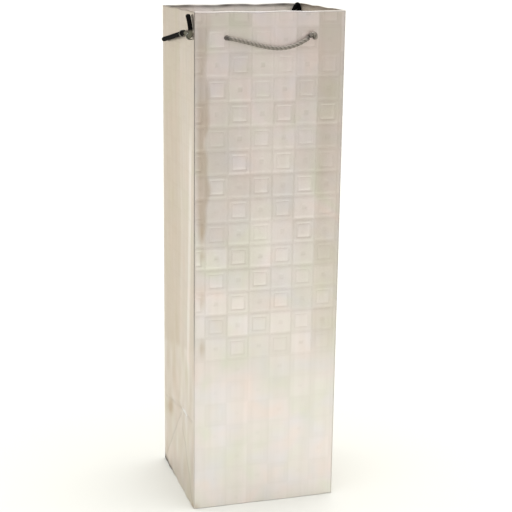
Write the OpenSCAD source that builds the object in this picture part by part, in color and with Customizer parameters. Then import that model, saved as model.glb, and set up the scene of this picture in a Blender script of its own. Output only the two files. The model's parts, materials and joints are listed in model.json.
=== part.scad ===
// Wine gift bag: a tall block-bottom paper bag with cord handles and two small tie cords.
// Millimetres. The origin is the middle of the base, +Z is up and the front panel faces -Y.

/* [Bag] */
// Width of the front and back panels
bag_w = 108; // [96:1:130]
// Depth of the side gussets
bag_d = 98; // [88:1:110]
// Height of the bag
bag_h = 360; // [330:1:400]
// Thickness of the laminated paper
paper_t = 0.4; // [0.3:0.05:0.6]
// Width of the glued seam flap
seam_w = 14; // [10:1:20]

/* [Top edge] */
// Height of the turned-in hem
hem_h = 38; // [32:1:50]
// Height of each reinforcement card
card_h = 34; // [28:1:38]
// Thickness of each reinforcement card
card_t = 1; // [0.6:0.1:1.4]
// Gap round a reinforcement card inside its hem
card_gap = 1; // [0.5:0.1:2]

/* [Bottom] */
// Overlap of the front and back bottom flaps
flap_overlap = 20; // [10:1:40]
// Length of each side bottom flap
side_flap_l = 38; // [30:1:42]
// Thickness of the loose bottom board
board_t = 1.4; // [1:0.1:2]
// Gap from the board to the side gussets
board_gap_x = 2.6; // [2:0.1:4]
// Gap from the board to the front and back panels
board_gap_y = 2.6; // [2.4:0.1:4]

/* [Handles] */
// Diameter of the handle cord
handle_cord_d = 2.8; // [2.4:0.1:3]
// Distance between the two holes of a handle
hole_spacing = 63; // [60:1:70]
// Depth of the holes below the rim
hole_drop = 16.5; // [14:0.5:20]
// Diameter of a handle hole
hole_d = 3.4; // [3.2:0.1:4]
// Distance of the hanging loop's centre line in front of its panel
loop_offset = 2.2; // [2:0.1:3]
// Radius of a knot's body
knot_r = 2.9; // [2.4:0.1:3.4]
// Length of the tail below a knot
knot_tail_l = 11; // [8:1:12]

/* [Tie cords] */
// Diameter of the black tie cords
tie_cord_d = 3; // [2.4:0.1:3.2]
// Distance of a tie cord's centre line from the wall that it lies on
tie_offset = 1.8; // [1.7:0.1:2.2]
// Diameter of the staple wire
staple_wire_d = 0.8; // [0.6:0.1:1.2]
// Gap between a tie cord and its staple
staple_gap = 0.15; // [0.1:0.05:0.3]

/* [Hidden] */
$fn = 48;
cord_sides = 8;

half_w = bag_w / 2;
half_d = bag_d / 2;
inner_x = half_w - paper_t;                  // inner face of a side gusset
inner_y = half_d - paper_t;                  // inner face of the front or back panel
hem_y = inner_y - card_t - paper_t;          // inner face of the front or back hem
hem_x = inner_x - paper_t;                   // inner face of a side hem
hole_z = bag_h - hole_drop;
loop_y = half_d + loop_offset;               // the hanging loop's plane, and its hinge line
stub_end_y = half_d + 0.5;                   // where a fixed stub stops outside its hole
floor_z = 3 * paper_t;                       // top of the glued bottom
board_x = inner_x - board_gap_x;
board_y = inner_y - board_gap_y;
tie_x = half_w + tie_offset;                 // left tie cord, outside the left gusset
tie_y = hem_y - tie_offset;                  // right tie cord, inside the back hem
staple_r = tie_cord_d / 2 + staple_gap + staple_wire_d / 2;

// The hanging handle loop seen from outside its panel: [along X, above the holes].
// No point is far above the holes, so that the loop clears its panel as it swings up.
LOOP_ROUTE = [
    [-33, 0], [-30, -0.4], [-27.5, -0.7], [-24, -1.4], [-20, -2.4], [-15, -3.6], [-9, -5],
    [-3, -6.3], [4, -7.1], [9, -6.9], [14, -6], [18.5, -4.5], [22, -2.8], [25.5, -1],
    [28.5, 0], [31.5, 0.2], [33, 0]
];

// Left tie cord on the outer face of the left gusset: [along Y, above the base].
// It starts at the short upright tail and ends at the cut end of the long one.
LEFT_TIE_ROUTE = [
    [-38.4, 358], [-41.2, 355.6], [-43.7, 352.8], [-45.6, 349.8], [-46.2, 346.9],
    [-44.6, 344.6], [-41, 343.8], [-37.4, 344.6], [-33, 345.6], [-26, 345.4], [-18, 344.3],
    [-8, 342.9], [3, 341.3], [14, 339.7], [26, 338], [37, 336.5]
];

// The stretches of the left tie cord that a staple crosses, counted from its first point
LEFT_STAPLED_STRETCHES = [5, 9];

// Right tie cord inside the back hem, by the right corner: [along X, above the base].
// Both legs hang inside the mouth and the bend stands just above the rim.
RIGHT_TIE_ROUTE = [
    [45.2, 336], [45.2, 341], [45.3, 346], [45.7, 350], [46.5, 354.2], [47.9, 358.2],
    [50.1, 361.2], [51.4, 358.6], [51.6, 355], [51.6, 351], [51.6, 346], [51.4, 341], [51.2, 336]
];

FOIL = [0.84, 0.79, 0.71];
WHITE_PAPER = [0.93, 0.92, 0.89];
GREY_BOARD = [0.62, 0.60, 0.56];
SILVER_CORD = [0.70, 0.68, 0.64];
BLACK_CORD = [0.06, 0.06, 0.06];
STEEL = [0.66, 0.66, 0.64];

// ---- helpers ----

function unit(v) = v / norm(v);

function direction(path, i) =
    unit(path[min(i + 1, len(path) - 1)] - path[max(min(i, len(path)) - 1, 0)]);

// A side vector at each point of a path, carried along it without twist
function carried(side, along) = unit(side - along * (side * along));

function sides(path, first_side) = [
    for (i = 0, s = carried(first_side, direction(path, 0));
         i < len(path);
         i = i + 1, s = carried(s, direction(path, i))) s
];

function ring(centre, along, side, r) = [
    for (k = [0 : cord_sides - 1])
        let (a = 360 * k / cord_sides)
        centre + r * (cos(a) * side + sin(a) * cross(along, side))
];

// A cord: one closed tube with a ring of corners at each point of its path
module cord(path, d, first_side) {
    n = len(path);
    m = cord_sides;
    s = sides(path, first_side);
    points = [for (i = [0 : n - 1]) each ring(path[i], direction(path, i), s[i], d / 2)];
    wall = [
        for (i = [0 : n - 2]) for (k = [0 : m - 1])
            let (a = i * m + k, b = i * m + (k + 1) % m)
            each [[a, a + m, b], [b, a + m, b + m]]
    ];
    caps = [[for (k = [0 : m - 1]) k], [for (k = [m - 1 : -1 : 0]) (n - 1) * m + k]];
    polyhedron(points = points, faces = concat(wall, caps), convexity = 6);
}

// A flat sheet between two corners
module sheet(low, high) {
    translate(low) cube(high - low);
}

// Copies its children to both handle holes
module at_both_holes() {
    for (side = [-1, 1]) translate([side * hole_spacing / 2, 0, hole_z]) children();
}

// The two handle holes, as pins along -Y that are longer than the front wall is thick
module handle_holes() {
    at_both_holes() translate([0, -half_d + 5, 0]) rotate([90, 0, 0]) cylinder(d = hole_d, h = 10);
}

// Turns a front piece into the matching back piece
module to_back() {
    rotate([0, 0, 180]) children();
}

// ---- wrap: four walls from one folded sheet ----

module panel() {
    difference() {
        sheet([-half_w, -half_d, 0], [half_w, -inner_y, bag_h]);
        handle_holes();
    }
}

module front_panel() {
    color(FOIL) panel();
}

module back_panel() {
    color(FOIL) to_back() panel();
}

module gusset() {
    sheet([-half_w, -inner_y, 0], [-inner_x, inner_y, bag_h]);
}

module left_gusset() {
    color(FOIL) gusset();
}

module right_gusset() {
    color(FOIL) to_back() gusset();
}

module side_seam_flap() {
    color(WHITE_PAPER)
    sheet([inner_x - seam_w, inner_y - paper_t, floor_z], [inner_x, inner_y, bag_h - hem_h]);
}

// ---- top edge ----

// The turned-in wall, foil side out, and the narrow fold that joins it to the panel over the card
module panel_hem() {
    difference() {
        union() {
            sheet([-inner_x, -hem_y - paper_t, bag_h - hem_h], [inner_x, -hem_y, bag_h]);
            sheet([-inner_x, -inner_y, bag_h - paper_t], [inner_x, -hem_y, bag_h]);
        }
        handle_holes();
    }
}

module front_top_hem() {
    color(FOIL) panel_hem();
}

module back_top_hem() {
    color(FOIL) to_back() panel_hem();
}

module gusset_hem() {
    sheet([-inner_x, -hem_y, bag_h - hem_h], [-hem_x, hem_y, bag_h]);
}

module left_top_hem() {
    color(FOIL) gusset_hem();
}

module right_top_hem() {
    color(FOIL) to_back() gusset_hem();
}

module reinforcement_card() {
    top = bag_h - card_gap;
    difference() {
        sheet([card_gap - inner_x, -inner_y, top - card_h], [inner_x - card_gap, card_t - inner_y, top]);
        handle_holes();
    }
}

module front_reinforcement_card() {
    color(GREY_BOARD) reinforcement_card();
}

module back_reinforcement_card() {
    color(GREY_BOARD) to_back() reinforcement_card();
}

// ---- glued bottom and loose board ----

module bottom_front_flap() {
    color(FOIL) sheet([-inner_x, -inner_y, 0], [inner_x, flap_overlap / 2, paper_t]);
}

module bottom_back_flap() {
    color(FOIL) sheet([-inner_x, -flap_overlap / 2, paper_t], [inner_x, inner_y, 2 * paper_t]);
}

// A side flap narrows at 45 degrees, because its corners are folded under the long flaps
module bottom_side_flap() {
    short = inner_y - side_flap_l;
    translate([0, 0, 2 * paper_t])
    linear_extrude(paper_t)
    polygon([
        [-inner_x, -inner_y], [side_flap_l - inner_x, -short],
        [side_flap_l - inner_x, short], [-inner_x, inner_y]
    ]);
}

module bottom_left_flap() {
    color(WHITE_PAPER) bottom_side_flap();
}

module bottom_right_flap() {
    color(WHITE_PAPER) to_back() bottom_side_flap();
}

module bottom_board() {
    color(GREY_BOARD) sheet([-board_x, -board_y, floor_z], [board_x, board_y, floor_z + board_t]);
}

// ---- handles ----

// The loop hangs in one plane through the hinge line, clear of the panel
module handle_loop() {
    cord([for (p = LOOP_ROUTE) [p.x, -loop_y, hole_z + p.y]], handle_cord_d, [0, 1, 0]);
}

module front_handle_cord() {
    color(SILVER_CORD) handle_loop();
}

module back_handle_cord() {
    color(SILVER_CORD) to_back() handle_loop();
}

// One cord end: the stub through the hole, one turn round it, the knot's body and a cut tail
module knotted_end() {
    knot_y = -hem_y + knot_r;
    turn_r = knot_r - 0.6;
    translate([0, -stub_end_y, 0]) rotate([-90, 0, 0])
        cylinder(d = handle_cord_d, h = stub_end_y + knot_y);
    translate([0, knot_y, 0]) sphere(r = knot_r);
    translate([0, knot_y + 0.6, 0]) rotate([90, 0, 0])
        rotate_extrude() translate([turn_r, 0]) circle(d = handle_cord_d);
    translate([0, knot_y + 0.4, -knot_tail_l]) cylinder(d = handle_cord_d, h = knot_tail_l);
}

module handle_knots() {
    at_both_holes() knotted_end();
}

module front_handle_knots() {
    color(SILVER_CORD) handle_knots();
}

module back_handle_knots() {
    color(SILVER_CORD) to_back() handle_knots();
}

// ---- tie cords and their staples ----

module left_tie_cord() {
    color(BLACK_CORD) cord([for (p = LEFT_TIE_ROUTE) [-tie_x, p.x, p.y]], tie_cord_d, [1, 0, 0]);
}

module right_tie_cord() {
    color(BLACK_CORD) cord([for (p = RIGHT_TIE_ROUTE) [p.x, tie_y, p.y]], tie_cord_d, [0, 1, 0]);
}

// A wire arch over a cord that lies along X on the plane z = 0, with its feet on that plane
module staple() {
    translate([0, 0, tie_offset]) rotate([90, 0, 90])
        rotate_extrude(angle = 180) translate([staple_r, 0]) circle(d = staple_wire_d);
    for (side = [-1, 1]) translate([0, side * staple_r, 0])
        cylinder(d = staple_wire_d, h = tie_offset);
}

// One staple at the middle of the stretch of the left tie cord that starts at a point of its route
module left_tie_staple(i) {
    low = LEFT_TIE_ROUTE[i];
    high = LEFT_TIE_ROUTE[i + 1];
    slope = atan2(high.y - low.y, high.x - low.x);
    translate([-half_w, (low.x + high.x) / 2, (low.y + high.y) / 2])
        rotate([0, -90, 0]) rotate(90 - slope) staple();
}

module left_tie_staples() {
    color(STEEL) for (i = LEFT_STAPLED_STRETCHES) left_tie_staple(i);
}

module right_tie_staple() {
    leg = RIGHT_TIE_ROUTE[2];
    color(STEEL) translate([leg.x, hem_y, leg.y]) rotate([90, 0, 0]) rotate(90) staple();
}

front_panel();
back_panel();
left_gusset();
right_gusset();
side_seam_flap();
front_top_hem();
back_top_hem();
left_top_hem();
right_top_hem();
front_reinforcement_card();
back_reinforcement_card();
bottom_front_flap();
bottom_back_flap();
bottom_left_flap();
bottom_right_flap();
bottom_board();
front_handle_cord();
back_handle_cord();
front_handle_knots();
back_handle_knots();
left_tie_cord();
right_tie_cord();
left_tie_staples();
right_tie_staple();
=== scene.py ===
"""Wine gift bag: the looks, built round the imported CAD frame. All sizes are in metres."""

import json
import math
from collections import namedtuple

import bmesh
import bpy
import numpy as np
from mathutils import Matrix, Vector


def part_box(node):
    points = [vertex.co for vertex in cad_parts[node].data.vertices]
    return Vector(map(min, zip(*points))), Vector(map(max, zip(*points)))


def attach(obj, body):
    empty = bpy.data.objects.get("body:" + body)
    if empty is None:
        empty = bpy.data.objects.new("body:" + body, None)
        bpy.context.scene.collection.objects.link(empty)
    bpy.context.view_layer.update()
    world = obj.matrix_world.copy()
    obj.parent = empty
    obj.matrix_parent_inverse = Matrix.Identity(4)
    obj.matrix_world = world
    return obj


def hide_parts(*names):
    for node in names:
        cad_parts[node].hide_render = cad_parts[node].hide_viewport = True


MM = 0.001

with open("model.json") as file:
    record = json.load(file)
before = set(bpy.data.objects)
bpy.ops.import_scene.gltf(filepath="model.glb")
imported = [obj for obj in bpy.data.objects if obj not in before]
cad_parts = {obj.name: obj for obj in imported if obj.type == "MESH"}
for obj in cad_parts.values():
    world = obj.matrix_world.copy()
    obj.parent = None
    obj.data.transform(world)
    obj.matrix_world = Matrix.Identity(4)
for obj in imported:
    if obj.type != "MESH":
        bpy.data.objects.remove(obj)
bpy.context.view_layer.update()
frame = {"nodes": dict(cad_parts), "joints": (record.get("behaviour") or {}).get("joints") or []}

# ---- driving sizes, from the frame ----

front_low, front_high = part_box("front_panel")
hem_low, hem_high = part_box("front_top_hem")
side_hem_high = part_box("left_top_hem")[1]
CARD_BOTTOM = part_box("front_reinforcement_card")[0].z
HALF_W = front_high.x
HALF_D = -front_low.y
BAG_H = front_high.z
HEM_BOTTOM = hem_low.z
HEM_IN_Y = HALF_D + hem_high.y              # how far inside the outer face the front hem's face lies
HEM_IN_X = HALF_W + side_hem_high.x         # the same for the side hems
HINGE = {j["name"]: Vector(j["pos_m"]) for j in frame["joints"] if j["type"] == "hinge"}
LOOP_Y = -HINGE["front_handle_swing"].y     # the hanging loops' planes
HOLE_Z = HINGE["front_handle_swing"].z
HOLE_X = 31.5 * MM                          # from the middle of a panel to each of its two holes
HOLE_R = 1.7 * MM
HANDLE_D = 2.8 * MM                         # the cords' diameters
TIE_D = 3.0 * MM

PAPER = 0.34 * MM           # the wrap's own thickness
CREASE_R = 0.9 * MM         # outer radius of the four upright folds
GRID_STEP = 1.4 * MM        # the widest gap between grid lines where the paper is creased
CREASED_TOP = 125 * MM      # how high that fine grid reaches

# The embossed check: one cell's size, and the middle of one cell on the front panel
CELL_W = 16.1 * MM
CELL_H = 16.85 * MM
CELL_X = -21.7 * MM
CELL_Z = 241.0 * MM
RELIEF = 0.13 * MM
# Half sizes of the squares in a cell: where a flank starts and where it ends
OUTER_SQUARE = (7.1 * MM, 7.6 * MM)
BAND_INSIDE = (5.1 * MM, 5.6 * MM)
INNER_SQUARE = (4.1 * MM, 4.6 * MM)
DOT = (1.2 * MM, 2.1 * MM)

GUSSET_PINCH = 1.9 * MM     # how far a gusset's middle fold stands in
MIDDLE_FOLD_SOFT = 0.03     # how rounded that fold is, as a share of the gusset's half width
BASE_FOLD_Z = 57 * MM       # where a gusset's middle fold meets the base's folds
CREASE_DEPTH = 0.6 * MM     # of the flat-fold crease across each gusset
DIAGONAL_DEPTH = 0.25 * MM  # of the base's diagonal creases
CRUMPLE_DEPTH = 0.11 * MM
PANEL_BOW = 0.5 * MM        # how far a panel bows out at mid height
FOLD_DRAW_IN = 0.45 * MM    # how far a panel stands in along its folds
CARD_SHOWS = 0.08 * MM      # how far the reinforcement card presses its panel out
# Height of the walls' waves, and their length up the wall
LONG_WAVE = (0.22 * MM, 150 * MM)
SHORT_WAVE = (0.16 * MM, 67 * MM)


# ---- camera ----

CAMERA_TURNS = (16.79, 14.2, 0.79)          # yaw, pitch and roll in degrees
CAMERA_PLACE = (-0.704, -2.39, 1.124)       # in bag heights, from the middle of the base
CAMERA_LENS = 86.45                         # for a sensor 36 mm wide


def make_camera():
    yaw, pitch, roll = (math.radians(turn) for turn in CAMERA_TURNS)
    ahead = Vector((math.sin(yaw) * math.cos(pitch), math.cos(yaw) * math.cos(pitch), -math.sin(pitch)))
    level = Vector((math.cos(yaw), -math.sin(yaw), 0))
    upward = level.cross(ahead)
    right = math.cos(roll) * level + math.sin(roll) * upward
    up = math.cos(roll) * upward - math.sin(roll) * level
    data = bpy.data.cameras.new("camera")
    data.sensor_width = 36
    data.lens = CAMERA_LENS
    data.clip_end = 100
    camera = bpy.data.objects.new("camera", data)
    bpy.context.scene.collection.objects.link(camera)
    turn = Matrix((right, up, -ahead)).transposed().to_4x4()
    place = Vector(CAMERA_PLACE) * BAG_H
    camera.matrix_world = Matrix.Translation(place) @ turn
    bpy.context.scene.camera = camera


make_camera()


# ---- small helpers ----

def smooth(low, high, x):
    """Rises softly from 0 at low to 1 at high."""
    t = np.clip((x - low) / (high - low), 0, 1)
    return t * t * (3 - 2 * t)


def stretch(place, low, high, soft):
    """1 between low and high, falling softly to 0 outside them."""
    return smooth(low - soft, low + soft, place) * (1 - smooth(high - soft, high + soft, place))


def bell(place, width):
    """1 at 0, falling off to both sides over about the given width."""
    return np.exp(-(place / width) ** 2)


def new_object(name, points, faces, uv=None, attributes=None):
    """A mesh object from arrays: uv is per point, and so is each named attribute."""
    mesh = bpy.data.meshes.new(name)
    mesh.from_pydata(points.tolist(), [], faces.tolist() if hasattr(faces, "tolist") else faces)
    if uv is not None:
        layer = mesh.uv_layers.new(name="wrap")
        corner = np.zeros(len(mesh.loops), np.int32)
        mesh.loops.foreach_get("vertex_index", corner)
        layer.data.foreach_set("uv", uv[corner].astype(np.float32).ravel())
    for label, values in (attributes or {}).items():
        attribute = mesh.attributes.new(label, "FLOAT", "POINT")
        attribute.data.foreach_set("value", values.astype(np.float32))
    mesh.validate()
    mesh.shade_smooth()
    obj = bpy.data.objects.new(name, mesh)
    bpy.context.scene.collection.objects.link(obj)
    return obj


def weighted_normals(obj):
    """Shades flat faces flat and narrow folds round."""
    modifier = obj.modifiers.new("normals", "WEIGHTED_NORMAL")
    modifier.weight = 80
    bpy.context.view_layer.objects.active = obj
    bpy.ops.object.modifier_apply(modifier=modifier.name)


def tube_faces(rings, sides):
    """Quads along a row of closed rings, and a cap at each end."""
    i, k = np.meshgrid(np.arange(rings - 1), np.arange(sides), indexing="ij")
    after = (k + 1) % sides
    quads = np.stack([i * sides + k, i * sides + after, (i + 1) * sides + after, (i + 1) * sides + k], -1)
    first_cap = list(range(sides))[::-1]
    last_cap = [(rings - 1) * sides + m for m in range(sides)]
    return quads.reshape(-1, 4).tolist() + [first_cap, last_cap]


# ---- materials ----

class Nodes:
    """A node tree, with short ways to add and join nodes."""

    def __init__(self, tree):
        self.tree = tree

    def add(self, kind, **settings):
        node = self.tree.nodes.new(kind)
        for key, value in settings.items():
            setattr(node, key, value)
        return node

    def link(self, source, target):
        self.tree.links.new(source, target)

    def value(self, socket, amount):
        if isinstance(amount, (int, float)):
            socket.default_value = amount
        else:
            self.link(amount, socket)

    def math(self, operation, a, b=0.0, clamp=False):
        node = self.add("ShaderNodeMath", operation=operation, use_clamp=clamp)
        self.value(node.inputs[0], a)
        self.value(node.inputs[1], b)
        return node.outputs[0]

    def attribute(self, name):
        return self.add("ShaderNodeAttribute", attribute_name=name).outputs["Fac"]

    def object_space(self, scale=(1, 1, 1)):
        where = self.add("ShaderNodeTexCoord").outputs["Object"]
        mapping = self.add("ShaderNodeMapping")
        mapping.inputs["Scale"].default_value = scale
        self.link(where, mapping.inputs["Vector"])
        return mapping.outputs[0]

    def uv_space(self, scale=(1, 1, 1)):
        mapping = self.add("ShaderNodeMapping")
        mapping.inputs["Scale"].default_value = scale
        self.link(self.add("ShaderNodeUVMap", uv_map="wrap").outputs[0], mapping.inputs["Vector"])
        return mapping.outputs[0]

    def noise(self, where, scale, detail=3.0, roughness=0.5, distortion=0.0):
        node = self.add("ShaderNodeTexNoise")
        self.link(where, node.inputs["Vector"])
        node.inputs["Scale"].default_value = scale
        node.inputs["Detail"].default_value = detail
        node.inputs["Roughness"].default_value = roughness
        node.inputs["Distortion"].default_value = distortion
        return node.outputs["Fac"]

    def ramp(self, factor, *stops):
        node = self.add("ShaderNodeValToRGB")
        while len(node.color_ramp.elements) < len(stops):
            node.color_ramp.elements.new(0.5)
        for element, (place, colour) in zip(node.color_ramp.elements, stops):
            element.position = place
            element.color = (*colour, 1)
        self.link(factor, node.inputs["Fac"])
        return node.outputs["Color"]

    def scaled(self, factor, low, high, from_low=0.0, from_high=1.0, kind="LINEAR"):
        """Goes from low to high as the factor goes from from_low to from_high."""
        node = self.add("ShaderNodeMapRange", interpolation_type=kind)
        self.link(factor, node.inputs["Value"])
        node.inputs["From Min"].default_value = from_low
        node.inputs["From Max"].default_value = from_high
        node.inputs["To Min"].default_value = low
        node.inputs["To Max"].default_value = high
        return node.outputs[0]

    def mix(self, factor, a, b, blend="MIX"):
        node = self.add("ShaderNodeMix", data_type="RGBA", blend_type=blend)
        self.value(node.inputs["Factor"], factor)
        for socket, colour in ((node.inputs["A"], a), (node.inputs["B"], b)):
            if isinstance(colour, tuple):
                socket.default_value = (*colour, 1)
            else:
                self.link(colour, socket)
        return node.outputs["Result"]

    def bump(self, height, distance, strength=1.0, under=None):
        node = self.add("ShaderNodeBump")
        node.inputs["Distance"].default_value = distance
        node.inputs["Strength"].default_value = strength
        self.link(height, node.inputs["Height"])
        if under is not None:
            self.link(under, node.inputs["Normal"])
        return node.outputs["Normal"]


class NewMaterial(Nodes):
    """A new material's node tree."""

    def __init__(self, name):
        self.material = bpy.data.materials.new(name)
        self.material.use_nodes = True
        super().__init__(self.material.node_tree)
        self.shader = self.tree.nodes["Principled BSDF"]


def foil_material():
    """Champagne metallised film on paper: soft tints, painted shade where the emboss is low and along the
    folds, creases and rim, and painted brown reflections along some folds.
    """
    n = NewMaterial("foil")
    relief, fold, hem = n.attribute("relief"), n.attribute("fold"), n.attribute("hem")
    streaks = n.noise(n.object_space((1, 1, 0.05)), 160, 2.0)
    grain = n.noise(n.object_space((1, 1, 0.12)), 1400, 2.0)
    colour = foil_tint(n)
    colour = n.mix(n.scaled(streaks, 0.0, 0.22, 0.35, 0.8), colour, (0.66, 0.62, 0.55))
    # Painted shade: a little darker where the emboss is low.
    colour = n.mix(n.scaled(relief, 0.14, 0.0), colour, (0.50, 0.46, 0.40))
    # Painted brown reflections.
    brown_reflection = n.math("MULTIPLY", n.attribute("brown_reflection"), n.scaled(streaks, 0.8, 1.15))
    colour = n.mix(n.math("MINIMUM", brown_reflection, 1.0), colour, (0.515, 0.415, 0.300))
    # Painted shade along the folds, creases and rim.
    colour = n.mix(fold, colour, (0.10, 0.09, 0.08))
    n.link(colour, n.shader.inputs["Base Color"])
    gloss = n.math("ADD", n.scaled(relief, 0.40, 0.34), n.scaled(fold, 0.0, 0.2))
    gloss = n.math("ADD", gloss, n.scaled(hem, 0.0, 0.15))
    n.link(n.math("ADD", gloss, n.scaled(grain, -0.03, 0.05)), n.shader.inputs["Roughness"])
    n.link(n.scaled(hem, 0.9, 0.2), n.shader.inputs["Metallic"])
    crumple = n.noise(n.object_space(), 70, 2.0, 0.4)
    normal = n.bump(crumple, 0.2 * MM, 0.15)
    n.link(n.bump(grain, 0.01 * MM, 0.15, normal), n.shader.inputs["Normal"])
    return n.material


def foil_tint(n):
    """The foil's soft green, rose and violet tints, and each embossed cell's own tone, with the painted
    light and shade that the tone attribute also carries.
    """
    space = n.object_space()
    tint = n.ramp(
        n.noise(space, 24, 1.0, 0.5, 1.2),
        (0.25, (0.830, 0.845, 0.735)),
        (0.45, (0.885, 0.850, 0.800)),
        (0.60, (0.915, 0.850, 0.825)),
        (0.80, (0.955, 0.835, 0.790)),
    )
    violet = n.noise(space, 41, 1.0, 0.5, 0.5)
    tint = n.mix(n.scaled(violet, 0.0, 0.7, 0.45, 0.75), tint, (0.865, 0.845, 0.875))
    toned = n.mix(n.attribute("tone"), (0.90, 0.905, 0.89), (1.06, 1.06, 1.07))
    return n.mix(1.0, tint, toned, "MULTIPLY")


def paper_material(name, base, dark, fleck):
    """Uncoated paper or board: soft fibres, and flecks in the grey board."""
    n = NewMaterial(name)
    space = n.object_space()
    fibres = n.noise(n.object_space((1, 1, 0.35)), 900, 4.0, 0.65)
    patches = n.noise(space, 40, 3.0)
    colour = n.ramp(fibres, (0.25, dark), (0.7, base))
    colour = n.mix(n.scaled(patches, 0.0, fleck), colour, tuple(0.82 * c for c in base))
    n.link(colour, n.shader.inputs["Base Color"])
    n.shader.inputs["Roughness"].default_value = 0.85
    n.shader.inputs["Specular IOR Level"].default_value = 0.25
    n.link(n.bump(fibres, 0.05 * MM, 0.5), n.shader.inputs["Normal"])
    return n.material


YARN_THREADS = (40, 14, 1)      # how much finer than the cord its threads are, round it and along it
BARE_YARN = (0.155, 0.15, 0.115)


def cord_material(name, base, dark, metallic, roughness, sheen=0.5):
    """Twisted yarn: fine threads across each strand, painted shade in the grooves, and grey-olive where it
    is bare.
    """
    n = NewMaterial(name)
    groove = n.attribute("relief")
    fine = n.noise(n.uv_space(YARN_THREADS), 1.0, 2.0)
    # Painted shade: the groove colour where the strands' height is low.
    colour = n.mix(n.scaled(groove, 1.0, 0.0), base, dark)
    colour = n.mix(n.scaled(fine, 0.0, 0.45), colour, dark)
    colour = n.mix(n.attribute("bare"), colour, BARE_YARN)
    n.link(colour, n.shader.inputs["Base Color"])
    n.shader.inputs["Metallic"].default_value = metallic
    n.shader.inputs["Specular IOR Level"].default_value = sheen
    n.link(n.scaled(fine, roughness - 0.08, roughness + 0.12), n.shader.inputs["Roughness"])
    n.link(n.bump(fine, 0.10 * MM, 0.6), n.shader.inputs["Normal"])
    return n.material


def steel_material():
    """Drawn zinc-plated staple wire."""
    n = NewMaterial("staple_wire")
    drawn = n.noise(n.object_space((1, 1, 0.2)), 2500, 2.0)
    colour = n.ramp(drawn, (0.3, (0.20, 0.20, 0.17)), (0.7, (0.34, 0.34, 0.30)))
    n.link(colour, n.shader.inputs["Base Color"])
    n.shader.inputs["Metallic"].default_value = 1.0
    n.link(n.scaled(drawn, 0.25, 0.42), n.shader.inputs["Roughness"])
    n.link(n.bump(drawn, 0.02 * MM, 0.5), n.shader.inputs["Normal"])
    return n.material


foil = foil_material()
white_paper = paper_material("white_paper", (0.86, 0.85, 0.82), (0.76, 0.75, 0.72), 0.25)
grey_board = paper_material("grey_board", (0.42, 0.40, 0.36), (0.30, 0.28, 0.25), 0.6)
silver_yarn = cord_material(
    "silver_yarn", (0.38, 0.345, 0.30), (0.11, 0.10, 0.088), metallic=0.55, roughness=0.42)
black_yarn = cord_material(
    "black_yarn", (0.0035, 0.003, 0.003), (0.002, 0.0018, 0.0018), metallic=0.0, roughness=0.8, sheen=0.05)
steel = steel_material()


# ---- cords ----

def spline(points, step):
    """Evenly spaced points on a smooth curve through the given ones."""
    p = np.array(points, float)
    p = np.vstack([2 * p[0] - p[1], p, 2 * p[-1] - p[-2]])
    fine = []
    for i in range(1, len(p) - 2):
        t = np.linspace(0, 1, 24, endpoint=False)[:, None]
        a, b, c, d = p[i - 1:i + 3]
        fine.append(0.5 * (2 * b + (c - a) * t + (2 * a - 5 * b + 4 * c - d) * t ** 2
                           + (3 * b - a - 3 * c + d) * t ** 3))
    fine = np.vstack(fine + [p[-2:-1]])
    length = np.concatenate([[0], np.cumsum(np.linalg.norm(np.diff(fine, axis=0), axis=1))])
    count = max(4, int(round(length[-1] / step)))
    at = np.linspace(0, length[-1], count + 1)
    return np.stack([np.interp(at, length, fine[:, k]) for k in range(3)], 1)


def side_vectors(path):
    """Two vectors across the path at each of its points, carried along it without twist."""
    along = np.gradient(path, axis=0)
    along /= np.linalg.norm(along, axis=1)[:, None]
    side = np.zeros_like(path)
    first = np.cross(along[0], [0.3, 0.5, 0.8])
    for i in range(len(path)):
        first = first - along[i] * (first @ along[i])
        first /= np.linalg.norm(first)
        side[i] = first
    return side, np.cross(along, side)


def strand_height(angle, strands):
    """Height of a twisted cord's surface round its section, from 0 in a groove to 1 on a strand."""
    return np.abs(np.cos(strands * angle / 2)) ** 0.7


def cord_relief(angle, twist, strands, braid):
    """Height of a cord's surface, from 0 in a groove to 1 on a strand, at each step and angle."""
    one_way = strand_height(angle[None, :] - twist, strands)
    if not braid:
        return one_way
    other_way = strand_height(angle[None, :] + twist, strands)
    return np.maximum(one_way, other_way) * 0.5 + 0.5 * one_way * other_way


def end_rounding(travel, round_ends):
    """The share of its radius that a cord keeps near its ends."""
    share = np.ones(len(travel))
    for end, size in zip((0, -1), round_ends):
        if size:
            away = np.clip(np.abs(travel - travel[end]) / size, 0, 1)
            share *= np.sqrt(np.clip(1 - (1 - away) ** 2, 0.02, 1))
    return share


CORD_SIDES = 28
WORN_THINNING = 0.22      # how much of its radius a worn stretch has lost


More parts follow.
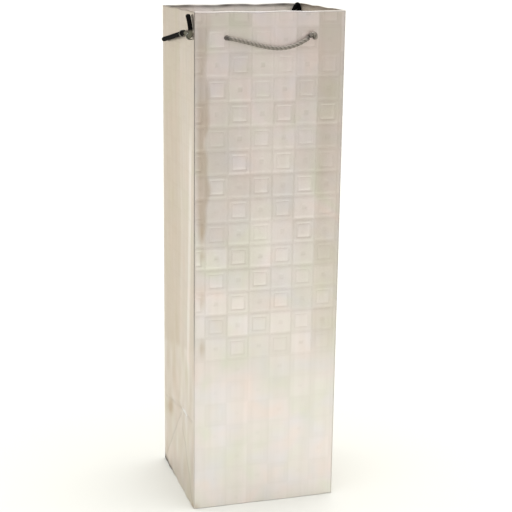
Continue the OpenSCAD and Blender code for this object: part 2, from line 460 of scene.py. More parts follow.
def rope(name, points, d, material, strands=3, lay=9 * MM, depth=0.2, braid=False, round_ends=(0, 0),
         shaded_ends=False, full=1.1, worn=None):
    """A cord's tube along a route, its strands twisted or braided in the mesh.

    full is how far the strands stand out, as a share of the cord's radius. worn is a stretch of it,
    from and to in metres along the cord, where it is thinner and has lost its colour.
    """
    path = spline(points, d / 7)
    a, b = side_vectors(path)
    angle = np.linspace(0, 2 * math.pi, CORD_SIDES, endpoint=False)
    travel = np.arange(len(path)) * np.linalg.norm(path[1] - path[0])
    twist = 2 * math.pi * travel[:, None] / lay
    height = cord_relief(angle, twist, strands, braid)
    bare = stretch(travel, *worn, 0.6 * MM) if worn else np.zeros(len(path))
    kept = (1 - WORN_THINNING * bare) * end_rounding(travel, round_ends)
    radius = d / 2 * (full - depth + depth * height) * kept[:, None]
    across = np.cos(angle)[None, :, None] * a[:, None, :] + np.sin(angle)[None, :, None] * b[:, None, :]
    rings = path[:, None, :] + radius[..., None] * across
    turns = (angle[None, :] - twist) / (2 * math.pi)
    uv = np.stack(np.broadcast_arrays(turns, travel[:, None] / d), -1).reshape(-1, 2)
    # Painted shade: toward its ends the cord fades to its groove colour, for the shade where it goes into
    # its hole.
    if shaded_ends:
        from_end = np.minimum(travel, travel[-1] - travel)
        height = height * smooth(0.2 * MM, 3 * MM, from_end)[:, None]
    bare = np.broadcast_to(bare[:, None], height.shape)
    obj = new_object(name, rings.reshape(-1, 3), tube_faces(len(path), CORD_SIDES), uv,
                     {"relief": height.ravel(), "bare": bare.ravel()})
    obj.data.materials.append(material)
    return obj, path


def same(points):
    return points


def turned(points):
    """The matching points of the back piece, for points of the front one."""
    return [(-x, -y, z) for x, y, z in points]


# All routes are in millimetres.
# The hanging loop: along X, above the holes. It starts at the left hole and ends at the fixed arch.
LOOP_ROUTE = [
    (-31.5, -0.2), (-30, -0.4), (-27.5, -0.7), (-24, -1.4), (-20, -2.4), (-15, -3.6), (-9, -5),
    (-3, -6.3), (4, -7.1), (9, -6.9), (14, -6), (18.5, -4.5), (22, -2.8), (24.8, -1.3), (26.8, 0),
]
# The arch that stands over the right hole, from the loop's end to the hole
ARCH_ROUTE = [(26.8, 0), (28.1, 1.7), (29.6, 2.6), (31, 1.9), (31.5, 0.2)]
# Left tie cord, on the left gusset: along Y, above the base
LEFT_TIE_ROUTE = [
    (-38.4, 358), (-41.2, 355.6), (-43.7, 352.8), (-45.6, 349.8), (-46.2, 346.9),
    (-44.6, 344.6), (-41, 343.8), (-37.4, 344.6), (-33, 345.6), (-26, 345.4), (-18, 344.3),
    (-8, 342.9), (3, 341.3), (14, 339.7), (26, 338), (37, 336.5),
]
# Right tie cord, inside the back hem: along X, above the base
RIGHT_TIE_ROUTE = [
    (45.2, 336), (45.2, 341), (45.3, 346), (45.7, 350), (46.5, 354.2), (47.9, 358.2),
    (50.1, 361.2), (51.4, 358.6), (51.6, 355), (51.6, 351), (51.6, 346), (51.4, 341), (51.2, 336),
]
TIE_OFFSET = 1.8 * MM               # from a tie cord's middle to the wall that it lies on
# The left cord is worn to its core where it bends under its staples: from and to, along it.
LEFT_TIE_WORN = (12.8 * MM, 29.5 * MM)

KNOT_TURNS = 1.75
KNOT_STEPS = 14
KNOT_TURN_R = 2.75 * MM             # from the core's middle to the turns' middle

# How much of a cord's end is rounded off, at its first and its last end
ROUNDED = (HANDLE_D / 2, HANDLE_D / 2)
TAIL_CUT = (HANDLE_D / 2, 0.3 * MM)
TIE_CUT = (0.35 * MM, 0.35 * MM)


def handle_loop(name, body, place):
    points = place([(x * MM, -LOOP_Y, HOLE_Z + z * MM) for x, z in LOOP_ROUTE])
    loop, path = rope(name, points, HANDLE_D, silver_yarn, round_ends=ROUNDED, shaded_ends=True)
    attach(loop, body)
    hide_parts(body + "_cord")
    return loop, path


def knot_route(x, inside):
    """A straight core inside the hole, then turns back round it, and a short tail that hangs down."""
    route = [(x, inside + 3.5 * MM, HOLE_Z), (x, inside + 7.2 * MM, HOLE_Z - 0.4 * MM)]
    for k in range(KNOT_STEPS + 1):
        t = k / KNOT_STEPS
        a = -math.pi / 2 + KNOT_TURNS * 2 * math.pi * t
        r = KNOT_TURN_R * min(1, 0.55 + 1.2 * t)
        y = inside + (7.6 - 5.4 * t) * MM
        route.append((x + r * math.cos(a), y, HOLE_Z + r * math.sin(a)))
    end_x, end_y, end_z = route[-1]
    route.append((end_x - 0.4 * MM, end_y + 0.6 * MM, end_z - 4 * MM))
    route.append((end_x - 0.8 * MM, end_y + 1.6 * MM, end_z - 10 * MM))
    return route


def knotted_end_route(x):
    """One end of a handle cord: from the arch or the left hole's rim, through the hole, to its knot."""
    inside = -(HALF_D - HEM_IN_Y)
    if x > 0:
        route = [(px * MM, -LOOP_Y, HOLE_Z + pz * MM) for px, pz in ARCH_ROUTE]
    else:
        route = [(x, -LOOP_Y, HOLE_Z)]
    route += [(x, -LOOP_Y + 1.2 * MM, HOLE_Z), (x, inside, HOLE_Z)]
    return route + knot_route(x, inside)


def knots(name, place):
    made = []
    for side, x in (("left", -HOLE_X), ("right", HOLE_X)):
        points = place(knotted_end_route(x))
        obj, _ = rope(f"{name}_{side}", points, HANDLE_D, silver_yarn,
                      round_ends=TAIL_CUT, shaded_ends=True)
        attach(obj, "bag")
        made.append(obj)
    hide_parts(name)
    return made


front_knots = knots("front_handle_knots", same)
back_knots = knots("back_handle_knots", turned)
for name, body, place, ends in (
    ("front_handle_loop", "front_handle", same, front_knots),
    ("back_handle_loop", "back_handle", turned, back_knots),
):
    loop, path = handle_loop(name, body, place)


def tie_cord(name, points, worn=None):
    obj, path = rope(name, points, TIE_D, black_yarn, strands=4, lay=10 * MM, depth=0.12, braid=True,
                     round_ends=TIE_CUT, full=1.14, worn=worn)
    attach(obj, "bag")
    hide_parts(name.replace("_piece", ""))


left_x = -HALF_W - TIE_OFFSET
right_y = HALF_D - HEM_IN_Y - TIE_OFFSET
left_points = [(left_x, y * MM, z * MM) for y, z in LEFT_TIE_ROUTE]
right_points = [(x * MM, right_y, z * MM) for x, z in RIGHT_TIE_ROUTE]
tie_cord("left_tie_cord_piece", left_points, worn=LEFT_TIE_WORN)
tie_cord("right_tie_cord_piece", right_points)


# ---- the wrap: one folded sheet of foil paper ----

def cell_lines(low, high, middle, pitch):
    """The grid lines that a stretch of the embossed check needs."""
    offsets = sorted({s * v for pair in (OUTER_SQUARE, BAND_INSIDE, INNER_SQUARE, DOT) for v in pair
                      for s in (-1, 1)})
    first = math.floor((low - middle) / pitch) - 1
    last = math.ceil((high - middle) / pitch) + 1
    lines = [middle + k * pitch + o for k in range(first, last + 1) for o in offsets]
    return [v for v in lines if low + 0.3 * MM < v < high - 0.3 * MM]


def filled(lines, gap):
    """Adds a line in the middle of every gap that is wider than this."""
    between = [(a + b) / 2 for a, b in zip(lines, lines[1:]) if b - a > gap]
    return sorted(lines + between)


def with_hole_lines(lines, centres):
    """Adds lines round each hole, and drops a line that would be too close to one of them."""
    extra = [c + k * HOLE_R / 2 for c in centres for k in (-2, -1, 0, 1, 2)]
    kept = [v for v in lines if all(abs(v - e) > 0.2 * MM for e in extra)]
    return sorted(kept + extra)


# Half the width of each wall, and where its middle lies in the pattern: front, right, back, left
WALLS = (
    (HALF_W, 0.0),
    (HALF_D, HALF_W + HALF_D),
    (HALF_W, -2 * HALF_D - 2 * HALF_W),
    (HALF_D, -HALF_W - HALF_D),
)


def wall_columns():
    """The wrap's upright grid lines round the bag: wall or corner, wall number, place t, pattern u."""
    columns = []
    for wall, (half, u0) in enumerate(WALLS):
        flat = half - CREASE_R
        low, high = u0 - flat, u0 + flat
        lines = cell_lines(low, high, CELL_X, CELL_W)
        if wall in (0, 2):
            lines = with_hole_lines(lines, [u0 - HOLE_X, u0 + HOLE_X])
        lines = sorted([low] + lines + [high])
        if wall in (1, 3):
            lines = filled(lines, GRID_STEP)
        columns += [("wall", wall, u - u0, u) for u in lines]
        columns += [("corner", wall, k / 5, u0 + half) for k in range(1, 5)]
    return columns


columns = wall_columns()
col_is_wall = np.array([c[0] == "wall" for c in columns])
col_wall = np.array([c[1] for c in columns])
col_t = np.array([c[2] for c in columns])
col_u = np.array([c[3] for c in columns])
# Each corner follows its wall, and its t runs from 0 to 1.
WALL_ANGLE = -90 + 90 * col_wall + np.where(col_is_wall, 0, 90 * col_t)
normal_x = np.cos(np.radians(WALL_ANGLE))
normal_y = np.sin(np.radians(WALL_ANGLE))
frontness = normal_y ** 2      # 1 on the front and back walls, 0 on the side walls
is_gusset = col_wall % 2 == 1
col_s = np.where(col_is_wall, col_t / np.where(is_gusset, HALF_D - CREASE_R, HALF_W - CREASE_R), 1.0)
across = np.abs(col_s)         # 0 at the middle of a wall, 1 at its folds
from_fold = 1 - across
# On a gusset these are negative toward the front fold and positive toward the back one.
back_share = np.where(col_wall == 3, -col_s, col_s)
back_mm = np.where(col_wall == 3, -col_t, col_t) / MM


def wall_share(values_front_back, values_side):
    return frontness * values_front_back + (1 - frontness) * values_side


def section(inset_x, inset_y):
    """X and Y of the rounded rectangle that lies inset from the bag's outer faces."""
    r = np.maximum(CREASE_R - wall_share(inset_y, inset_x), 0.22 * MM)
    flat_x, flat_y = HALF_W - inset_x - r, HALF_D - inset_y - r
    x = np.zeros(len(columns))
    y = np.zeros(len(columns))
    stretch_x = flat_x / (HALF_W - CREASE_R)
    stretch_y = flat_y / (HALF_D - CREASE_R)
    for wall, (dx, dy) in enumerate(((1, 0), (0, 1), (-1, 0), (0, -1))):
        on = col_is_wall & (col_wall == wall)
        x[on] = (dx * col_t * stretch_x + normal_x * (HALF_W - inset_x))[on]
        y[on] = (dy * col_t * stretch_y + normal_y * (HALF_D - inset_y))[on]
    for wall, (sx, sy) in enumerate(((1, -1), (1, 1), (-1, 1), (-1, -1))):
        on = ~col_is_wall & (col_wall == wall)
        x[on] = (sx * flat_x + normal_x * r)[on]
        y[on] = (sy * flat_y + normal_y * r)[on]
    return x, y


def crease_height():
    """The flat-fold crease across each gusset runs slightly uphill toward the front."""
    return BASE_FOLD_Z + 4 * MM - 6 * MM * back_share


def gusset_shift(z):
    """A gusset stands in at its middle fold, is creased over the base, and is crumpled low down."""
    side = np.clip(1 - (np.sqrt(col_s ** 2 + MIDDLE_FOLD_SOFT ** 2) - MIDDLE_FOLD_SOFT), 0, 1)
    pinch = GUSSET_PINCH * (1 - 0.45 * smooth(0.55 * BAG_H, BAG_H, z))
    middle_fold = pinch * np.minimum(z / BASE_FOLD_Z, side)
    over_crease = z - crease_height()
    crease = bell(over_crease - 6 * MM, 4 * MM) - bell(over_crease, 2.2 * MM)
    diagonal = bell(from_fold - z / BASE_FOLD_Z, 0.035) * (z < BASE_FOLD_Z)
    a, b = col_t / MM, z / MM
    crumple = np.sin(a / 3.1 + b / 9.5) + np.sin(a / 4.7 - b / 6.1 + 1) + np.sin(a / 2.3 + b / 23 + 2)
    crumple = crumple * (1 - 0.75 * smooth(100, 150, b)) * smooth(0, 0.2, from_fold)
    return (CREASE_DEPTH * crease * side ** 0.5 - middle_fold
            - DIAGONAL_DEPTH * diagonal + CRUMPLE_DEPTH * crumple)


def wall_waves(z):
    """Long shallow waves up a wall, calmer where the hem and card stiffen it."""
    high, pitch = LONG_WAVE
    long_wave = high * np.sin(2 * math.pi * z / pitch + 0.9 * col_wall)
    high, pitch = SHORT_WAVE
    short_wave = high * np.sin(2 * math.pi * z / pitch + 5 * col_s + 1.7 * col_wall)
    calm = 1 - 0.7 * smooth(0.9 * BAG_H, 0.96 * BAG_H, z)
    return (long_wave + short_wave) * (1 - col_s ** 2) * calm


def wall_shift(z):
    """How far the wrap stands out of its flat walls at height z, for every column."""
    waves = wall_waves(z)
    bow = PANEL_BOW * np.sin(math.pi * z / BAG_H) * (1 - col_s ** 2)
    by_fold = np.clip((across - 0.80) / 0.20, 0, 1)
    card_edge = smooth(CARD_BOTTOM - 1.2 * MM, CARD_BOTTOM + 0.4 * MM, z) * smooth(0, 0.03, from_fold)
    panel = waves + bow - FOLD_DRAW_IN * by_fold ** 2 + CARD_SHOWS * card_edge
    return wall_share(panel, gusset_shift(z) + 0.5 * waves) * col_is_wall


def square_height(du, dv, ring_cell):
    """Emboss height from 0 to 1, and how much paler the foil is, at a place in a cell."""
    m = np.maximum(np.abs(du), np.abs(dv))

    def step(pair):
        return np.clip((m - pair[0]) / (pair[1] - pair[0]), 0, 1)

    ring = np.where(m > BAND_INSIDE[0], step(BAND_INSIDE), 1 - step(INNER_SQUARE))
    dot = 0.1 + 0.9 * step(DOT)
    shape = np.where(ring_cell, ring, dot) * (1 - step(OUTER_SQUARE))
    in_band = (m > BAND_INSIDE[0]) & (m < OUTER_SQUARE[1])
    shade = np.where(ring_cell, np.where(in_band, -0.30, 0.2), np.where(m < DOT[0], -0.6, 0.08))
    return shape, shade


TABLE_SIZE = 80
tone_table = np.random.RandomState(7).rand(TABLE_SIZE, TABLE_SIZE)


def cell_tone(column, row):
    """One cell's own random tone, from 0 to 1."""
    return tone_table[column % TABLE_SIZE, row % TABLE_SIZE]


def pressed(v):
    """How deep the emboss is: faint in the lowest third, and fainter on the side walls."""
    depth = 0.22 + 0.78 * smooth(95 * MM, 150 * MM, v) if v < BAG_H else 0.8
    return depth * np.where(is_gusset, 0.35, 1.0)


def emboss(v):
    """Emboss height, and the foil's tone with its painted light and shade, for every column at pattern
    height v.
    """
    column = np.round((col_u - CELL_X) / CELL_W).astype(int)
    row = int(round((v - CELL_Z) / CELL_H))
    du = col_u - CELL_X - column * CELL_W
    dv = v - CELL_Z - row * CELL_H
    height, shade = square_height(du, dv, (column + row) % 2 == 1)
    by_fold = np.where(col_is_wall, smooth(0.0, 0.03, from_fold), 0)
    depth = pressed(v) * (0.45 + 0.55 * cell_tone(column + TABLE_SIZE // 2, row + TABLE_SIZE // 2))
    # The tone also carries the painted light and shade of the light band.
    tone = 0.5 + 0.85 * (cell_tone(column, row) - 0.5) * pressed(v) + painted_light_band(v)
    cell_side = np.abs(du) > CELL_W / 2 - 0.8 * MM
    tone = tone + depth * (shade - 0.3 * cell_side)
    return height * by_fold * depth, np.clip(tone, 0, 1)


# In the functions for the foil's looks, back_mm and height are places on a wall in millimetres.

def gusset_highlight_strip(height):
    """A painted highlight strip down each gusset's front half, from 0 to 1. Lower down it is farther from
    the fold.
    """
    middle = -27.5 - 0.055 * (height - 100)
    return stretch(back_mm - middle, -4.5, 4.5, 2.6) * stretch(height, 108, 275, 20)


def painted_light_band(v):
    """Painted light and shade: how much paler or darker than its mean the foil is, on the front panel, the
    gussets and the back.
    """
    height = v / MM
    front = 0.55 * stretch(back_mm, -14, 16, 8) * stretch(height, 205, 400, 30)
    front = front - 0.16 * stretch(height, 105, 320, 25) - 0.14 * stretch(height, 95, 165, 15)
    by_front = 0.30 * (1 - smooth(-46, -34, back_mm)) * (1 - smooth(200, 240, height))
    by_back = 0.22 * smooth(34, 47, back_mm) * smooth(110, 140, height)
    low = 0.22 * (1 - smooth(85, 120, height))
    gusset = 0.34 * gusset_highlight_strip(height) + low - 0.36 - by_front - by_back
    back = -0.1
    return np.where(col_is_wall, np.select([col_wall == 0, is_gusset], [front, gusset], back), 0)


def rim_lift():
    """How far the rim stands above its plain height: no bag is cut and folded quite level."""
    wobble = 0.25 * MM * np.sin(9 * col_s + col_wall) * (1 - col_s ** 2)
    # Each wall's lift at its middle and how much it gains toward its far fold: front, right, back, left
    middle = np.choose(col_wall, [1.25 * MM, 1.9 * MM, 1.3 * MM, 0.7 * MM])
    slope = np.choose(col_wall, [0.35 * MM, 0.2 * MM, -0.8 * MM, 0.2 * MM])
    return middle + slope * col_s + wobble


def crease_shade_lines(z):
    """Painted shade lines: along a gusset's diagonals and flat-fold crease, a painted shadow under its
    lifted back edge, and a painted contact shadow along the foot of a panel.
    """
    height = z / MM
    diagonal = bell((from_fold - z / BASE_FOLD_Z) * 49, 1.3) * (height < 60)
    level = bell(height - crease_height() / MM, 1.2) * (across < 0.93)
    behind = np.clip(back_share, 0, 1)
    lifted_edge_shadow = bell(height, 0.3 + 3.6 * behind ** 2) * smooth(0.05, 0.6, behind)
    gusset = np.maximum(np.maximum(0.14 * diagonal, 0.12 * level), lifted_edge_shadow)
    panel = 0.22 * bell(height - 1.6, 0.6)
    return np.where(col_is_wall, np.where(is_gusset, gusset, panel), 0)


def corner_shade_line(z):
    """Painted shade lines along the upright folds: strongest at the left front fold's upper part."""
    left_front = 0.16 + 0.40 * smooth(95, 150, z[0] / MM)
    right_front = 0.24
    share = np.select([col_wall == 3, col_wall == 0], [left_front, right_front], 0.45)
    return np.where(col_is_wall, 0.0, share)


FOOT_SHADE = 0.55      # how strong the painted brown shade at the left front foot is
# Small painted brown reflections under the front panel's left stripe, in millimetres: height, half height,
# strength
LEFT_REFLECTION_SPOTS = ((208, 8, 0.5), (192, 4, 0.45), (160, 7, 0.4), (124, 6, 0.5))


def panel_brown_reflection(height):
    """Painted brown reflections down a panel's two edges and faintly over its middle, and painted brown
    shade at its left foot.
    """
    edge = -44.5 + 1.4 * np.sin(height / 9) + 0.8 * np.sin(height / 3.7)
    stripe = 0.54 * smooth(-53, -50, back_mm) * (1 - smooth(-1.8, 1.8, back_mm - edge))
    stripe = stripe * stretch(height, 208, 352, 18) * (1 - 0.35 * stretch(height, 300, 345, 15))
    # Painted brown reflection spots under the left stripe.
    reflection_spots = sum(size * bell(height - at, half) for at, half, size in LEFT_REFLECTION_SPOTS) * bell(back_mm + 48, 1.9)
    right_stripe = 0.22 * stretch(back_mm, 35, 52.5, 1.5) * stretch(height, 120, 372, 15)
    middle = 0.07 * stretch(height, 105, 320, 25)
    # Painted brown shade at the left front foot.
    foot = FOOT_SHADE * bell(height, 4) * bell(back_mm + 53, 3)
    return stripe + reflection_spots + right_stripe + middle + foot


def gusset_brown_reflection(height):
    """Painted brown reflections on a gusset but for its painted highlight strip: more in its back half,
    less and mottled at its foot, and painted brown shade at its front foot.
    """
    olive = 0.16 * stretch(back_mm, 4, 44, 9) * stretch(height, 60, 330, 45)
    low = 1 - smooth(-3, 3, height - 111 + 0.2 * back_mm)
    mottle = np.sin(back_mm / 3.1 + height / 11.3)
    mottle = mottle + np.sin(back_mm / 5.9 - height / 6.1 + 2) * np.sin(height / 14)
    # A painted brown reflection patch low in the back half.
    reflection_patch = 0.5 * bell(back_mm - 32, 10) * bell(height - 50 + 0.25 * (back_mm - 32), 5)
    # Painted brown shade at the gusset's front foot.
    foot = FOOT_SHADE * bell(height, 4) * bell(back_mm + 47, 4)
    return 0.60 + olive - 0.33 * gusset_highlight_strip(height) + low * (0.06 * mottle - 0.13) + reflection_patch + foot


def brown_reflection_share(z):
    """How much painted brown reflection the foil has, from 0 to 1, for every column at height z."""
    height = z / MM
    gusset = np.clip(gusset_brown_reflection(height), 0, 1)
    return np.where(col_is_wall, np.where(is_gusset, gusset, panel_brown_reflection(height)), 0.2)


# One level line of the wrap. x, y and z are given for every column. v is its height in the pattern: None
# off it, and 0 on the outer half of the rim. faces_out is -1 where the foil faces into the bag.
Row = namedtuple("Row", "x y z v faces_out paper")


def wrap_row(inset_x, inset_y, z, v=None, faces_out=1, paper=False):
    x, y = section(inset_x, inset_y)
    return Row(x, y, np.broadcast_to(z, len(columns)).copy(), v, faces_out, paper)


def outside_rows(top):
    """From the base's rounded foot up the outside, with a fine grid where the gussets are creased."""
    heights = with_hole_lines(cell_lines(0.8 * MM, top, CELL_Z, CELL_H), [HOLE_Z])
    fine = filled([v for v in heights if v < CREASED_TOP], GRID_STEP)
    coarse = [v for v in heights if v >= CREASED_TOP]
    foot = [wrap_row(0.35 * MM, 0.35 * MM, 0.0), wrap_row(0.08 * MM, 0.08 * MM, 0.15 * MM)]
    return foot + [wrap_row(0, 0, z, z) for z in [0.5 * MM] + fine + coarse + [top]]


def rim_rows(fold_x, fold_y):
    """Half a turn over the rim."""
    rim_r = wall_share(fold_y, fold_x)
    rows = []
    for k in range(9):
        a = math.pi * k / 8
        inward = 1 - math.cos(a)
        z = BAG_H - rim_r * (1 - math.sin(a))
        rows.append(wrap_row(fold_x * inward, fold_y * inward, z, 0 if k < 4 else None))
    return rows


def hem_rows():
    """Down the turned-in hem. The pattern runs on over the rim, so v counts up while z goes down."""
    low_v = 2 * BAG_H - HEM_BOTTOM
    lines = with_hole_lines(cell_lines(BAG_H + 2 * MM, low_v, CELL_Z, CELL_H), [2 * BAG_H - HOLE_Z])
    return [wrap_row(HEM_IN_X, HEM_IN_Y, 2 * BAG_H - v, v, -1) for v in lines + [low_v]]


def paper_rows():
    """Round the hem's cut edge, and down the paper side of the walls to the base."""
    back_x, back_y = HEM_IN_X - PAPER, HEM_IN_Y - PAPER
    behind_hem = HEM_BOTTOM + 3 * MM
    rows = [wrap_row(back_x, back_y, z, paper=True) for z in (HEM_BOTTOM, behind_hem)]
    upper = np.arange(HEM_BOTTOM - 4 * MM, 60 * MM, -12 * MM)
    lower = np.arange(60 * MM, 1 * MM, -4 * MM)
    heights = [behind_hem, *upper, *lower, 0.02 * MM]
    return rows + [wrap_row(PAPER, PAPER, z, paper=True) for z in heights]


def wrap_surface(rows):
    """Every row's points, and what the foil material needs to know at each of them."""
    lift = rim_lift()
    # Painted shade along the rim: a dark broken line along the back rim, a fainter one elsewhere.
    back_rim_shade = 0.74 + 0.2 * np.sin(7 * col_s + 0.6) * np.sin(15 * col_s)
    rim_shade = np.where(col_wall == 2, back_rim_shade, 0.42)
    points, uv = [], []
    # The tone mark also carries painted light and shade, the brown mark is painted reflection, and the
    # fold mark is painted shade.
    marks = {"relief": [], "tone": [], "brown_reflection": [], "fold": [], "hem": []}
    for row in rows:
        height, tone = np.zeros(len(columns)), np.full(len(columns), 0.5)
        if row.v:
            height, tone = emboss(row.v)
        out = wall_shift(row.z) + row.faces_out * RELIEF * height
        lifted = row.z + lift * smooth(HOLE_Z + 2.5 * MM, BAG_H, row.z)
        points.append(np.stack([row.x + normal_x * out, row.y + normal_y * out, lifted], 1))
        uv.append(np.stack([col_u, np.full(len(columns), row.v if row.v else float(row.z[0]))], 1))
        on_rim = row.v == 0 or row.v is None and not row.paper and row.z[0] > HEM_BOTTOM
        # Painted shade lines along the folds and creases, and along the rim.
        lines = np.maximum(corner_shade_line(row.z), crease_shade_lines(row.z))
        marks["relief"].append(height)
        marks["tone"].append(tone)
        marks["brown_reflection"].append(brown_reflection_share(row.z))
        marks["fold"].append(np.maximum(lines, rim_shade) if on_rim else lines)
        marks["hem"].append(np.full(len(columns), 1.0 if row.faces_out < 0 else 0.0))
    marks = {label: np.concatenate(values) for label, values in marks.items()}
    return np.stack(points), np.concatenate(uv), marks


def round_holes(points, rows):
    """Moves the square of points round each hole onto its circle. Returns which points lie in a hole."""
    in_hole = np.zeros(points.shape[:2], bool)
    reach = HOLE_R * 1.02
    above = np.array([row.z[0] for row in rows]) - HOLE_Z
    has_foil = np.array([bool(row.v) for row in rows])
    near_rows = np.nonzero(has_foil & (np.abs(above) < reach))[0]
    for wall, sign in ((0, 1), (2, -1)):
        for centre in (-HOLE_X, HOLE_X):
            along = col_t - centre
            near_columns = np.nonzero(col_is_wall & (col_wall == wall) & (np.abs(along) < reach))[0]
            for i in near_rows:
                for j in near_columns:
                    in_hole[i, j] = True
                    away = np.array([along[j], above[i]])
                    if max(abs(away)) > 0.9 * HOLE_R:
                        change = away * HOLE_R / np.linalg.norm(away) - away
                        points[i, j] += (sign * change[0], 0, change[1])
    return in_hole


def wrap_faces(rows, in_hole):
    """Quads round the bag and from each row to the next, but for the holes, and each one's material."""
    n_rows, n_cols = in_hole.shape
    i, j = np.meshgrid(np.arange(n_rows), np.arange(n_cols), indexing="ij")
    i2, j2 = (i + 1) % n_rows, (j + 1) % n_cols
    whole = ~(in_hole & in_hole[i2, j] & in_hole[i, j2] & in_hole[i2, j2])
    quads = np.stack([i * n_cols + j, i * n_cols + j2, i2 * n_cols + j2, i2 * n_cols + j], -1)
    material = np.broadcast_to(np.array([row.paper for row in rows])[:, None], whole.shape)
    return quads[whole], material[whole].astype(np.int32)


def drop_loose_points(obj):
    """Removes the points that no face uses."""
    bm = bmesh.new()
    bm.from_mesh(obj.data)
    bmesh.ops.delete(bm, geom=[v for v in bm.verts if not v.link_faces], context="VERTS")
    bm.to_mesh(obj.data)
    bm.free()


def two_materials(obj, which):
    """Foil where which is 0 and the wrap's white paper side where it is 1, for each face."""
    obj.data.materials.append(foil)
    obj.data.materials.append(white_paper)
    obj.data.polygons.foreach_set("material_index", which)


def build_wrap():
    fold_x, fold_y = HEM_IN_X / 2, HEM_IN_Y / 2
    top = BAG_H - fold_y - 0.2 * MM
    rows = outside_rows(top) + rim_rows(fold_x, fold_y) + hem_rows() + paper_rows()
    points, uv, marks = wrap_surface(rows)
    faces, material = wrap_faces(rows, round_holes(points, rows))
    obj = new_object("foil_wrap", points.reshape(-1, 3), faces, uv, marks)
    two_materials(obj, material)
    drop_loose_points(obj)
    weighted_normals(obj)
    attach(obj, "bag")
    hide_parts("front_panel", "back_panel", "left_gusset", "right_gusset",
                "front_top_hem", "back_top_hem", "left_top_hem", "right_top_hem")


build_wrap()


# ---- the glued base: two long flaps of the same foil ----

FLAP_CLEAR = 0.12 * MM      # from the surface that the bag stands on to a flap's foil
FLAP_RELIEF = 0.06 * MM
SIDE_FLAP_SHOWS = 0.05 * MM


def closed_sheet(xs, ys, under, thickness):
    """Points of a sheet's two faces, and its faces: the lower ones, the upper ones, and its cut edge."""
    x, y = np.meshgrid(xs, ys, indexing="ij")
    levels = [np.stack([x, y, level], -1).reshape(-1, 3) for level in (under, under + thickness)]
    index = np.arange(x.size).reshape(x.shape)
    down = np.stack([index[:-1, :-1], index[:-1, 1:], index[1:, 1:], index[1:, :-1]], -1).reshape(-1, 4)
    up = down[:, ::-1] + x.size
    rim = np.concatenate([index[:, 0], index[-1, 1:], index[-2::-1, -1], index[0, -2:0:-1]])
    after = np.roll(rim, -1)
    edge = np.stack([rim, after, after + x.size, rim + x.size], 1)
    return np.concatenate(levels), (down, up, edge)


def build_flap(name, node, free_edge, free_z):
    """A long bottom flap, foil side down, rising by free_z from its fold to its free edge."""
    low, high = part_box(node)
    xs = np.array([low.x] + cell_lines(low.x, high.x, CELL_X, CELL_W) + [high.x])
    ys = np.array([low.y] + cell_lines(low.y, high.y, 0, CELL_H) + [high.y])
    x, y = np.meshgrid(xs, ys, indexing="ij")
    column = np.round((x - CELL_X) / CELL_W).astype(int)
    row = np.round(y / CELL_H).astype(int)
    shape, shade = square_height(x - CELL_X - column * CELL_W, y - row * CELL_H, (column + row) % 2 == 1)
    from_free = np.abs(y - free_edge)
    side_flap_edge = np.abs(x) - np.maximum(np.abs(y) + 5 * MM, SIDE_FLAP_X)
    ridge = bell(side_flap_edge, 0.9 * MM)
    rise = free_z - free_z * smooth(4 * MM, 16 * MM, from_free)
    under = rise + FLAP_CLEAR - FLAP_RELIEF * shape - SIDE_FLAP_SHOWS * ridge
    points, faces = closed_sheet(xs, ys, under, PAPER)

    def both(values):
        """Values for the lower face's points, and the same for the upper face's."""
        return np.tile(np.broadcast_to(values, x.shape).ravel(), 2)

    uv = np.stack([both(x), both(y)], -1)
    flap = new_object(name, points, np.concatenate(faces), uv, {
        "relief": both(0.4 * shape),
        "tone": both(0.5 + 0.4 * (cell_tone(column, row) - 0.5) + 0.5 * shade),
        # Painted brown reflection.
        "brown_reflection": both(0.3 + 0.1 * np.sin(x / (9 * MM))),
        # Painted shade along the side flaps' ridges and along the free edge.
        "fold": both(np.maximum(0.35 * ridge, 0.5 * bell(from_free, 0.5 * MM))),
        "hem": both(0.0),
    })
    two_materials(flap, np.repeat([0, 1, 1], [len(part) for part in faces]).astype(np.int32))
    weighted_normals(flap)
    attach(flap, "bag")
    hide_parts(node)


SIDE_FLAP_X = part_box("bottom_right_flap")[0].x     # how near the middle a side flap under them reaches
front_flap_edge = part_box("bottom_front_flap")[1].y
back_flap_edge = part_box("bottom_back_flap")[0].y
build_flap("base_front_flap", "bottom_front_flap", front_flap_edge, 0.0)
build_flap("base_back_flap", "bottom_back_flap", back_flap_edge, PAPER + 0.1 * MM)


# ---- the loose board: cut card with rounded corners, a little cupped ----

def build_board():
    low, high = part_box("bottom_board")
    half_x, half_y = high.x, high.y
    corner, edge = 2.5 * MM, 0.35 * MM
    profile = [(edge, 0), (edge * 0.3, 0.1), (0, 0.3), (0, 0.7), (edge * 0.3, 0.9), (edge, 1)]
    outline = []
    for quarter, (sx, sy) in enumerate(((1, 1), (-1, 1), (-1, -1), (1, -1))):
        for k in range(7):
            a = math.radians(90 * quarter + 15 * k)
            outline.append((sx * (half_x - corner), sy * (half_y - corner), math.cos(a), math.sin(a)))
    outline = np.array(outline)

    def ring(inset, height, scale=1.0):
        x = (outline[:, 0] + outline[:, 2] * (corner - inset)) * scale
        y = (outline[:, 1] + outline[:, 3] * (corner - inset)) * scale
        cup = 0.35 * MM * ((x / half_x) ** 2 + 0.6 * (y / half_y) ** 2) - 0.2 * MM
        z = low.z + height * (high.z - low.z) + np.maximum(cup, 0) * (0.4 + 0.6 * height)
        return np.stack([x, y, z], 1)

    inner = [0.15, 0.4, 0.65, 0.85]
    rings = [ring(edge, 0, s) for s in inner] + [ring(inset, height) for inset, height in profile]
    rings += [ring(edge, 1, s) for s in reversed(inner)]
    board = new_object("loose_bottom_board", np.vstack(rings), tube_faces(len(rings), len(outline)))
    board.data.materials.append(grey_board)
    weighted_normals(board)
    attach(board, "loose_board")
    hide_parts("bottom_board")


build_board()


# ---- CAD pieces that are shown as they are, each with its material ----

def paint(node, material):
    obj = frame["nodes"][node]
    obj.data.materials.clear()
    obj.data.materials.append(material)


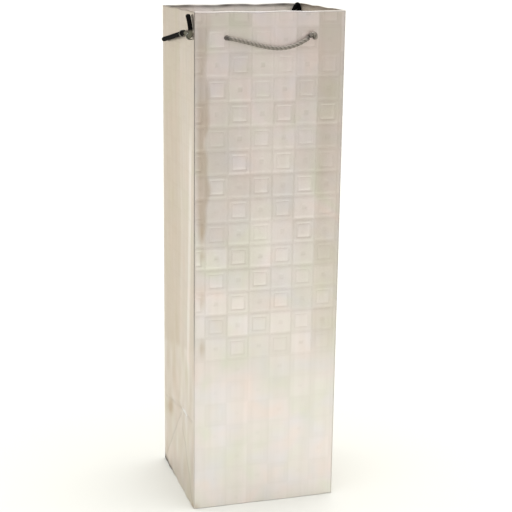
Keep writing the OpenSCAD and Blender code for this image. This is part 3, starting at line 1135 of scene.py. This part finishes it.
for node in ("front_reinforcement_card", "back_reinforcement_card"):
    paint(node, grey_board)
for node in ("bottom_left_flap", "bottom_right_flap", "side_seam_flap"):
    paint(node, white_paper)
for node in ("left_tie_staples", "right_tie_staple"):
    paint(node, steel)


# ---- floor and light ----

FLOOR_DROP = 0.1 * MM       # keeps the floor off the base


def make_floor():
    """A wide pale floor, painted darker well in front of the bag: painted shade for the dim room there,
    which the foil reflects.
    """
    points = np.array([(-14, -8, 0), (14, -8, 0), (14, 20, 0), (-14, 20, 0)]) - [0, 0, FLOOR_DROP]
    floor = new_object("floor", points, [[0, 1, 2, 3]])
    n = NewMaterial("pale_floor")
    place = n.add("ShaderNodeSeparateXYZ")
    n.link(n.add("ShaderNodeTexCoord").outputs["Object"], place.inputs[0])
    # Painted shade: the floor darkens well in front of the bag.
    ahead = n.scaled(place.outputs["Y"], 1.0, 0.0, -1.6, -0.42)
    n.link(n.mix(ahead, (0.70, 0.705, 0.665), (0.33, 0.305, 0.28)), n.shader.inputs["Base Color"])
    n.shader.inputs["Roughness"].default_value = 0.8
    n.shader.inputs["Specular IOR Level"].default_value = 0.2
    floor.data.materials.append(n.material)


def make_light():
    """A wide bright ceiling over a dimmer room: darkest in front, where the photographer stands."""
    scene = bpy.context.scene
    scene.view_settings.view_transform = "Standard"
    world = bpy.data.worlds.new("studio")
    world.use_nodes = True
    scene.world = world
    background = world.node_tree.nodes["Background"]
    n = Nodes(world.node_tree)
    direction = n.add("ShaderNodeSeparateXYZ")
    n.link(n.add("ShaderNodeTexCoord").outputs["Generated"], direction.inputs[0])
    across, ahead, up = direction.outputs
    by_depth = n.scaled(ahead, 0.38, 0.55, -1, 0.6, "SMOOTHSTEP")
    by_side = n.scaled(across, -0.06, 0.30, -0.9, 0.9, "SMOOTHSTEP")
    ceiling = n.scaled(up, 0.0, 1.9, 0.40, 0.95, "SMOOTHSTEP")
    room = n.math("ADD", by_depth, by_side)
    n.link(n.math("ADD", room, ceiling), background.inputs["Strength"])
    whiter_above = n.scaled(up, 0.0, 1.0, 0.2, 0.7, "SMOOTHSTEP")
    n.link(n.mix(whiter_above, (1.0, 0.90, 0.82), (1.0, 1.0, 1.0)), background.inputs["Color"])


make_floor()
make_light()
